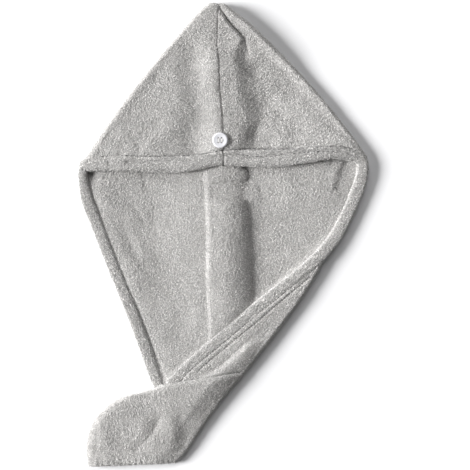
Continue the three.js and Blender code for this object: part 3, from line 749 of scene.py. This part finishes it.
# Turned-over side. The panel's right edge is folded back onto it, and runs down into the tail.
# It is the panel's own towelling, with two sewn rows along its hem and a ridge where the tail draws it in.
FLAP_RISE = 10.5
FLAP_RIDGE = [(-40, -203), (-32, -198.2), (-15.8, -191.4), (-3.6, -184.7), (8.5, -175.2), (20.7, -164.4),
              (32.8, -152.8), (42.3, -145), (52, -137)]
ROW_ONE = [(123.3, -43.5), (103, -59.4), (84.1, -75.2), (62.5, -92.4), (43.6, -107.8), (22, -125.8),
           (2, -142.6), (-17.5, -158.8), (-38.9, -176.2), (-55, -192)]
ROW_TWO = [(117, -55), (103, -67), (74.7, -90.5), (62.5, -101), (43.6, -117.3), (22, -134.9), (0, -153.4),
           (-18.5, -168.3), (-36, -184)]
FLAP_MOUTH = [(-93, -204.5), (-35, -195), (25, -183.5)]
FLAP_PUCKERS = 48
FLAP_COLUMNS = 84
SIDE_UNDER = 6
# the grid: rows from its inner edge to the folded side, and on underneath
flap_row = row_at(np.arange(-22, -222, -1.4))
flap_left, flap_right = row_ends(flap_row, 0, FOLD_INSET)
flap_width = flap_right - flap_left
flap_from = np.clip(along(OUTLINE, flap_row)[:, 4], 0, 0.975)
t = np.linspace(0, 1, FLAP_COLUMNS)
flap_bend = np.concatenate([np.zeros(FLAP_COLUMNS), np.radians(np.linspace(0, -90, TURN_STEPS + 1)[1:])])
flap_reach = np.concatenate([np.sin(np.pi / 2 * t) * 0.6 + 0.4 * t, np.ones(TURN_STEPS)])
flap_share = flap_from[:, None] + (1 - flap_from)[:, None] * flap_reach[None, :]
flap_xy = flap_left[:, None] + flap_width[:, None] * flap_share[..., None]
flap_full = np.linalg.norm(flap_width, axis=-1)[:, None]
flap_side = (1 - flap_share) * flap_full
flap_xy -= (flap_width / flap_full)[:, None] * (SIDE_UNDER * (1 - np.cos(flap_bend)))[None, :, None]
# how far each point lies from the inner edge, the ridge, the sewn rows and the tail's mouth
from_inner = -beside(INNER_EDGE, flap_xy[..., 0], flap_xy[..., 1])[0]
from_ridge, ridge_share = beside(FLAP_RIDGE, flap_xy[..., 0], flap_xy[..., 1])
from_one, one_share = beside(ROW_ONE, flap_xy[..., 0], flap_xy[..., 1])
from_two = beside(ROW_TWO, flap_xy[..., 0], flap_xy[..., 1])[0]
from_mouth = beside(FLAP_MOUTH, flap_xy[..., 0], flap_xy[..., 1])[0]
# the sewn rows and the mouth sink in, the hem puckers, and the ridge is steeper on its upper left side
flap_relief = -bell(from_one, 1.5) - bell(from_two, 1.5) - 3 * bell(from_mouth, 1.9)
flap_relief += 0.45 * np.sin(one_share * 2 * np.pi * FLAP_PUCKERS) * bell(from_one + 4, 2.2)
ridge_slope = np.where(from_ridge < 0, 1 + from_ridge / 9, 1 - from_ridge / 20)
flap_relief += 4.2 * smooth(ridge_slope) * smooth((1 - ridge_share) / 0.3) - 0.6 * bell(from_ridge + 7, 5)
flap_relief += 0.6 * grain(flap_xy[..., 0], flap_xy[..., 1], 22, 51)
# height: steep at the folded side and gentle further in, and the part that is turned under
flap_fold = 0.78 * fold_rise(flap_side, 4) + 0.22 * (1 - (1 - np.clip(flap_side / 45, 0, 1)) ** 1.3)
flap_z = WIDEST_AT + (FLAP_RISE - WIDEST_AT + SEAT + flap_relief * smooth(flap_side / 9)) * flap_fold
flap_z = np.where(flap_bend < 0, WIDEST_AT + (WIDEST_AT - SEAT) * np.sin(flap_bend), flap_z)
turned_side, flap_top, flap_normal = closed_sheet("turned_side", np.dstack([flap_xy, flap_z]), 61)
# no pile under the hem, underneath, under the tail, in the sewn rows, or in the mouth
flap_open = (from_inner > 9) & (flap_bend[None, :] > -0.9) & (flap_row[:, None] < MOUTH_ROW + 0.9)
flap_open &= (np.abs(from_one) > 0.8) & (np.abs(from_two) > 0.8) & (np.abs(from_mouth) > 1.6)
flap_pile = pile_on("turned_side_pile", flap_top, flap_normal, flap_open, 62, 1.15)
for piece in (turned_side, flap_pile):
    piece.data.materials.append(towelling)
    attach(piece, "root")
    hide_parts("towel_cloth")
flap_rows = [
    stitch_row("side_row_one", ROW_ONE, [flap_top], 63, palest=0.15, pitch=4.4, length=2.3),
    stitch_row("side_row_two", ROW_TWO, [flap_top], 64, palest=0.15, pitch=4.4, length=2.3),
]


# Tail. The narrow end of the towel is folded over to the lower left, and its end is drawn in by gathers.
# It lies on the turned-over side. Both its sides come down to the floor, and its end lies on the panel's.
TAIL_RISE = 18
TAIL_END_RISE = 10
TAIL_LENGTH = 118
TAIL_COLUMNS = 122
TAIL_CREASE = [(-84, -244), (-94, -261), (-104, -274), (-117, -288)]
TAIL_LEFT_CREASE = [(-170, -255), (-171, -286)]
TAIL_DROP = [(-66, -232), (-64, -250), (-63, -272), (-66, -292)]
# round dents and swellings in the tail: x, y, reach across, reach down, height
TAIL_DENTS = [(-92, -256, 10, 13, -1.5), (-162, -270, 13, 13, 2.2)]
# the grid: rows from the left fold to the right one, with both sides turned under
tail_mouth = MOUTH_ROW - 0.12
tail_row = np.concatenate([
    np.linspace(tail_mouth, MOUTH_ROW, 4)[:-1], np.linspace(MOUTH_ROW, END_ROW - 0.02, 92),
])
tail_left, tail_right = row_ends(tail_row, FOLD_INSET, FOLD_INSET)
tail_width = np.linalg.norm(tail_right - tail_left, axis=-1)[:, None]
t = np.linspace(0, 1, TAIL_COLUMNS)
turn_under = np.radians(np.linspace(-90, 0, TURN_STEPS + 1)[:-1])
tail_bend = np.concatenate([turn_under, np.zeros(TAIL_COLUMNS), turn_under[::-1]])
crowded = 0.5 * t + 0.25 * (1 - np.cos(np.pi * t))
tail_reach = np.concatenate([np.zeros(TURN_STEPS), crowded, np.ones(TURN_STEPS)])
tail_share = np.tile(tail_reach, (len(tail_row), 1))
tail_inward = ((tail_right - tail_left) / tail_width)[:, None]
tail_xy = tail_left[:, None] + (tail_right - tail_left)[:, None] * tail_share[..., None]
tail_turn = SIDE_UNDER * (1 - np.cos(tail_bend)) * np.where(tail_reach < 0.5, 1, -1)
tail_xy += tail_inward * tail_turn[None, :, None]
x, y = tail_xy[..., 0], tail_xy[..., 1]
# slopes of its two sides, and its height, which falls towards the end
down_tail = np.clip((tail_row - MOUTH_ROW) / (END_ROW - MOUTH_ROW), 0, 1)[:, None]
from_end = (1 - down_tail) * TAIL_LENGTH
right_reach = 38 - 8 * smooth(down_tail * 1.3)
from_right = (1 - tail_share) * tail_width
right_slope = 1 - (1 - np.clip(from_right / right_reach, 0, 1)) ** 1.35
from_left = tail_share * tail_width
left_slope = 0.75 * fold_rise(from_left, 10) + 0.25 * fold_rise(from_left, 36)
tail_fold = left_slope * (0.35 + 0.65 * right_slope) * fold_rise(from_right, 4)
tail_rise = TAIL_RISE + (TAIL_END_RISE - TAIL_RISE) * smooth(down_tail)
# dents, the two creases, a step down on the right, and swells
from_crease = beside(TAIL_CREASE, x, y)[0]
tail_relief = dents(TAIL_DENTS, x, y) - 1.1 * bell(from_crease, 8) - 0.4 * bell(from_crease, 2)
from_drop, drop_share = beside(TAIL_DROP, x, y)
drop_fade = smooth(2.6 * drop_share) * smooth(2 - 2 * drop_share)
tail_relief -= 3 * smooth(0.5 - from_drop / 16) * smooth((40 + from_drop) / 30) * drop_fade
tail_relief -= 0.8 * bell(beside(TAIL_LEFT_CREASE, x, y)[0], 3)
tail_relief += 0.8 * grain(x, y, 26, 71)
# gathers at the end, with a groove where they start
gathered = 0.42 * smooth(1 - from_end / 18)
pucker = np.sin(x / 1.15 + 1.6 * grain(x, y * 0.25, 9, 72)) + 0.8 * grain(x, 0.2 * y, 4.2, 73)
tail_relief += gathered * pucker - 0.9 * bell(from_end - 20, 3)
# height: rounded down at the end and at the mouth, and the sides that are turned under
side_fade = smooth(np.minimum(tail_share, 1 - tail_share) * tail_width / 12)
end_fold = fold_rise(from_end, 6)
mouth_fold = 0.72 + 0.28 * fold_rise((tail_row - tail_mouth)[:, None] * 24, 7)
tail_height = (tail_rise - WIDEST_AT + SEAT) * tail_fold + tail_relief * side_fade
tail_z = WIDEST_AT + tail_height * end_fold * mouth_fold
tail_z = np.where(tail_bend < 0, WIDEST_AT + (WIDEST_AT - SEAT) * np.sin(tail_bend), tail_z)
tail, tail_top, tail_normal = closed_sheet("tail", np.dstack([tail_xy, tail_z]), 81)
tail_pile = pile_on("tail_pile", tail_top, tail_normal, tail_bend[None, :] > -0.9 + 0 * x, 82, 0.6)
for piece in (tail, tail_pile):
    piece.data.materials.append(towelling)
    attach(piece, "root")
    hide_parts("towel_cloth")


# Hem round the face opening. The cloth's edge is turned in and sewn down, so it is a plump roll with fuller
# pile. It is one run on the towel. Here it is three rolls, one for each layer that it lies on.
hem_cloth = cloth_material("hem_towelling", (0.41, 0.402, 0.394), (0.95, 0.932, 0.914), 0.04, 0.3, 0.6)


def hem_roll(name, table, seed, rows, around, roundness, lean, pitch=1.5, end_round=6):
    """A rolled edge: an oval section carried along a smooth line, drawn in at both ends and closed there.
    The table gives x, y, z, width and height. Roundness is the oval's power, where 2 is an ellipse. Lean
    moves its crest to the right of the way it runs, as a share of half its width. The sewn rows sink into
    its top, and the pile stands out all round apart from them and the underside."""
    # sections at even steps along the line, closer at both ends, and the ways ahead, to the side and up
    fine = dense(table, 40)
    run = np.concatenate([[0], np.cumsum(np.linalg.norm(np.diff(fine[:, :3], axis=0), axis=1))])
    place = np.linspace(0, run[-1], int(run[-1] / pitch) + 1)
    place = np.concatenate([[0, 0.3, 0.8], place[1:-1], run[-1] - np.array([0.8, 0.3, 0])])
    sections = np.stack([np.interp(place, run, fine[:, k]) for k in range(5)], axis=1)
    centre = sections[:, :3]
    ahead = np.gradient(centre, axis=0)
    ahead /= np.linalg.norm(ahead, axis=1, keepdims=True)
    side = np.cross(ahead, [0.0, 0, 1])
    side /= np.linalg.norm(side, axis=1, keepdims=True)
    up = np.cross(side, ahead)
    # the oval, which leans and is drawn in at both ends, and the way out of it at each corner
    angle = 2 * np.pi * np.arange(around) / around
    across = np.sign(np.cos(angle)) * np.abs(np.cos(angle)) ** (2 / roundness)
    upwards = np.sign(np.sin(angle)) * np.abs(np.sin(angle)) ** (2 / roundness)
    drawn = (0.02 + 0.98 * fold_rise(np.minimum(place, run[-1] - place), end_round))[:, None, None]
    middle = centre[:, None] + drawn * (
        side[:, None] * ((across + lean * upwards)[None, :] * sections[:, 3:4] / 2)[..., None]
        + up[:, None] * (upwards[None, :] * sections[:, 4:5] / 2)[..., None])
    out = side[:, None] * across[None, :, None] + up[:, None] * upwards[None, :, None]
    out /= np.linalg.norm(out, axis=-1, keepdims=True)
    # the nap, the sewn rows, and where the pile stands
    pile = nap(middle, seed)
    skin = middle + out * (NAP_HEIGHT * 1.1 * pile)[..., None] * drawn
    open_pile = out[..., 2] > -0.75
    for row in rows:
        off_row, row_share = beside(row, skin[..., 0], skin[..., 1])
        fade = smooth(row_share / 0.03) * smooth((1 - row_share) / 0.04)
        skin[..., 2] -= 1.9 * fade * bell(off_row, 1.5) * (out[..., 2] > 0.2)
        open_pile = open_pile & (np.abs(off_row) > 1.2 * fade)
    skin[..., 2] = np.maximum(skin[..., 2], 0.1)
    faces = tube_faces(np.arange(skin.shape[0] * around).reshape(-1, around))
    # the roll's lightness as painted shade: low on the ramp, for the shade under the pile, and higher on the
    # nap's crests than in its hollows
    roll = build(name, skin.reshape(-1, 3), faces, 0.2 + 0.15 * pile)
    closed, outwards, open_pile = (np.concatenate([g, g[:, :1]], axis=1) for g in (skin, out, open_pile))
    return roll, pile_on(name + "_pile", closed, outwards, open_pile, seed + 1, 1.45), closed


# each hem's middle line and section: x, y, z, width, height
LEFT_HEM = [(-186, 101, 5.2, 13, 8.6), (-190, 83.5, 5.6, 11, 9.6), (-188.3, 66, 4.9, 12.8, 8.8),
            (-183, 44, 4.3, 15, 7.2), (-171, 14, 4.2, 15, 6.8), (-158, -20, 4.2, 15, 6.8),
            (-139, -67, 4.2, 15, 6.8), (-121.5, -110, 4.2, 15, 6.8), (-104, -157, 4.2, 15, 6.8),
            (-93.8, -187, 4.2, 14.2, 6.8), (-81.5, -218, 4.2, 12, 7.2)]
RIGHT_HEM = [(186, 106, 6.2, 12, 8), (187, 91.5, 6.4, 14.5, 8), (184.6, 75, 6.2, 15.5, 7.8),
             (176.8, 53, 6, 15.5, 7.6), (164.3, 24, 6, 15.5, 7.6), (149.8, -2, 6.8, 15.5, 7.2),
             (133.6, -23, 9, 15, 6.6), (113.8, -41.8, 10, 14.2, 6), (90.4, -61, 10.2, 14, 5.8),
             (54, -90, 10.2, 14, 5.8), (20, -117.4, 10.2, 14, 5.8), (-17.6, -150.4, 10.2, 14, 5.8),
             (-46.5, -176.2, 10, 14, 5.8), (-74, -202.4, 9.4, 13, 5.8)]
FRONT_HEM = [(-190.5, 92, 6.2, 14, 8.6), (-178.5, 96.4, 8.6, 19, 7.8), (-153.5, 97.1, 11.3, 19.5, 7.2),
             (-111.6, 96.6, 13.5, 20, 7), (-75.2, 95.9, 13.9, 21, 7.8), (-54.9, 96.2, 13.9, 21, 8.6),
             (-30.6, 99.6, 14, 19.5, 9), (-15.8, 102.9, 14.2, 19, 8.6), (-0.9, 104.2, 14.2, 19, 8.2),
             (22, 103.8, 14.5, 20, 7), (42.3, 103.8, 14.1, 21.5, 7.8), (77.4, 104.2, 13.6, 21.5, 8.8),
             (103, 107.2, 13.6, 21, 8.4), (126, 110.3, 13.8, 20, 7.4), (146.2, 112.3, 12.6, 18, 7),
             (165.1, 111, 10.4, 18, 7), (178.6, 107, 8.2, 17, 7.4), (186, 100, 7, 14.5, 7.6),
             (188.6, 90, 6, 12.5, 7.6)]
HEM_ROW_LEFT = [(-133, 98.1), (-100, 97.9), (-68, 98.1)]
HEM_ROW_LOWER = [(3, 110.8), (16, 109.2), (39.2, 106.1), (60, 105.6), (80.9, 108), (103, 110.6),
                 (126, 112.4), (152, 112.2), (165, 110.3), (175, 106.6)]
SEAM_TICK = [(-0.7, 107), (-0.3, 100), (0, 93)]
FRONT_ROWS = [HEM_ROW_UPPER, HEM_ROW_LEFT, HEM_ROW_LOWER, SEAM_TICK]
for node, table, seed, rows, around, roundness, lean in (
        ("left_hem", LEFT_HEM, 91, (), 36, 3.2, 0),
        ("right_hem", RIGHT_HEM, 101, (), 36, 3.4, -0.12),
        ("front_hem", FRONT_HEM, 111, FRONT_ROWS, 44, 3.3, 0.18)):
    roll, roll_pile, roll_top = hem_roll(node + "_roll", table, seed, rows, around, roundness, lean)
    for piece in (roll, roll_pile):
        piece.data.materials.append(hem_cloth)
        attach(piece, "root")
        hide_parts(node)
stitch_row("front_row_upper", HEM_ROW_UPPER, [roll_top, *hood_tops], 121)
stitch_row("front_row_lower", HEM_ROW_LOWER, [roll_top], 122)


# Button. White resin, moulded with four holes, a raised rim and a dished middle. A slot joins each pair of
# holes and takes the thread that holds it.
def patterned_material(name, pattern, dark, light, pattern_values, **values):
    """A smooth material whose colour goes from dark to light by a pattern on the piece's own coordinates.
    Values are the shader's own. Returns the material and its pattern."""
    material = bpy.data.materials.new(name)
    material.use_nodes = True
    nodes, links = material.node_tree.nodes, material.node_tree.links
    socket_values(nodes["Principled BSDF"], **values)
    place = nodes.new("ShaderNodeTexCoord")
    texture = nodes.new(pattern)
    socket_values(texture, **pattern_values)
    tone = nodes.new("ShaderNodeValToRGB")
    tone.color_ramp.elements[0].color = (*dark, 1)
    tone.color_ramp.elements[1].color = (*light, 1)
    links.new(place.outputs["Object"], texture.inputs["Vector"])
    links.new(texture.outputs["Fac"], tone.inputs["Fac"])
    links.new(tone.outputs["Color"], nodes["Principled BSDF"].inputs["Base Color"])
    return material, texture


white_resin = patterned_material(
    "white_resin", "ShaderNodeTexNoise", (0.7, 0.7, 0.735), (0.77, 0.77, 0.8), {"Scale": 220}, Roughness=0.3,
    Coat_Weight=0.2, Subsurface_Weight=0.15, Subsurface_Radius=(0.002, 0.002, 0.002))[0]
button_low, button_high = (np.array(corner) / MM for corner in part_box("button"))
# half the button's section, as distance from its middle and height, from the underside over the rim
BUTTON_PROFILE = [(0, 0), (8.4, 0), (9.7, 0.6), (10.4, 1.6), (10.4, 2.6), (9.8, 3.25), (8.9, 3.55),
                  (7.9, 3.52), (6.8, 3.38), (5.6, 3.26), (4.5, 3.2)]
PROFILE_STEPS = 6
RIM_POINT = 5
FACE_RADIUS, FACE_LEVEL = BUTTON_PROFILE[-1]
POLE_RADIUS = 0.05
HOLE_X, HOLE_Y = 2.1, 2.7
HOLE_RADIUS = 1.3
HOLE_DEPTH = 1.9
SLOT_DEPTH = 1.1
BUTTON_SIDES = 120
# the section, turned round its middle: from a small pole underneath over the rim, and across the face in
# rings to the pole on top
profile = dense(BUTTON_PROFILE, PROFILE_STEPS)
profile[0] = (POLE_RADIUS, 0)
face_radii = np.linspace(FACE_RADIUS, POLE_RADIUS, 44)[1:]
profile = np.concatenate([profile, np.stack([face_radii, np.full(len(face_radii), FACE_LEVEL)], axis=-1)])
angle = 2 * np.pi * np.arange(BUTTON_SIDES) / BUTTON_SIDES
x = profile[:, 0, None] * np.cos(angle)[None, :]
y = profile[:, 0, None] * np.sin(angle)[None, :]
z = np.repeat(profile[:, 1, None], BUTTON_SIDES, axis=1)
top_side = (np.arange(len(profile)) > RIM_POINT * PROFILE_STEPS)[:, None]
# four holes, and the slots that join them in pairs
for hole_x in (-HOLE_X, HOLE_X):
    for hole_y in (-HOLE_Y, HOLE_Y):
        off_hole = np.hypot(x - hole_x, y - hole_y)
        z = z - HOLE_DEPTH * top_side * smooth((HOLE_RADIUS + 0.25 - off_hole) / 0.5)
for slot_x in (-HOLE_X, HOLE_X):
    in_slot = smooth((1 - np.hypot((x - slot_x) / 1.45, y / 3.5)) / 0.3)
    z = np.where(top_side & (in_slot > 0), np.minimum(z, FACE_LEVEL - SLOT_DEPTH * in_slot), z)
centre = (button_low + button_high) / 2
corners = np.stack([x + centre[0], y + centre[1], np.maximum(z, 0) + button_low[2]], axis=-1)
button_faces = tube_faces(np.arange(len(profile) * BUTTON_SIDES).reshape(-1, BUTTON_SIDES))
button_disc = build("button_disc", corners.reshape(-1, 3), button_faces)
button_disc.data.materials.append(white_resin)
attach(button_disc, "root")
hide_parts("button")


# Button's thread. White thread goes from hole to hole in two double stitches, and is wound round itself
# below the button as a shank.
THREAD_RADIUS = 0.55
THREAD_RISE = 0.1
SHANK_RADIUS = 2.9
SHANK_TURNS = 4.5


def thread_run(x):
    """Path of one thread over the button: up out of a hole, across in a low arch, and down into the next."""
    t = np.linspace(0, 1, 15)
    arch = np.maximum(np.sin(np.pi * t), 0)
    height = THREAD_RISE * arch ** 0.6 - 1.2 * (1 - arch ** 0.4)
    path = np.stack([np.full(len(t), x), HOLE_Y * (2 * t - 1), FACE_LEVEL + height], axis=1)
    return path + [centre[0], centre[1], button_low[2]]


def thread_tube(paths, radius=THREAD_RADIUS, sides=10):
    """Round tubes carried along paths, drawn in at both ends, as corners and faces."""
    vertices, faces = [], []
    angle = 2 * np.pi * np.arange(sides) / sides
    for path in paths:
        ahead = np.gradient(path, axis=0)
        side = np.cross(ahead, [0.3, 0.1, 1.0])
        side /= np.linalg.norm(side, axis=1, keepdims=True)
        up = np.cross(side, ahead)
        up /= np.linalg.norm(up, axis=1, keepdims=True)
        width = radius * fold_rise(np.minimum(np.arange(len(path)), np.arange(len(path))[::-1]) + 0.3, 2)
        ring = np.cos(angle)[None, :, None] * side[:, None] + np.sin(angle)[None, :, None] * up[:, None]
        first = sum(len(part) for part in vertices)
        faces.append(tube_faces(first + np.arange(len(path) * sides).reshape(-1, sides)))
        vertices.append((path[:, None] + ring * width[:, None, None]).reshape(-1, 3))
    return np.concatenate(vertices), np.concatenate(faces)


runs = [thread_run(x + shift) for x in (-HOLE_X, HOLE_X) for shift in (0.1, 0.85)]
thread_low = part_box("button_thread")[0][2] / MM
turns = np.linspace(0, 2 * np.pi * SHANK_TURNS, 160)
shank = np.stack([centre[0] + SHANK_RADIUS * np.cos(turns), centre[1] + SHANK_RADIUS * np.sin(turns),
                  thread_low + 0.3 + (button_low[2] - thread_low) * turns / turns[-1]], axis=-1)
white_thread, thread_twist = patterned_material(
    "white_thread", "ShaderNodeTexWave", (0.7, 0.69, 0.68), (0.88, 0.87, 0.86),
    {"Scale": 900, "Distortion": 1.5}, Roughness=0.7, Sheen_Weight=0.2)
thread_twist.bands_direction = "DIAGONAL"
sewn_thread = build("sewn_thread", *thread_tube([*runs, shank]))
sewn_thread.data.materials.append(white_thread)
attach(sewn_thread, "root")
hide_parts("button_thread")
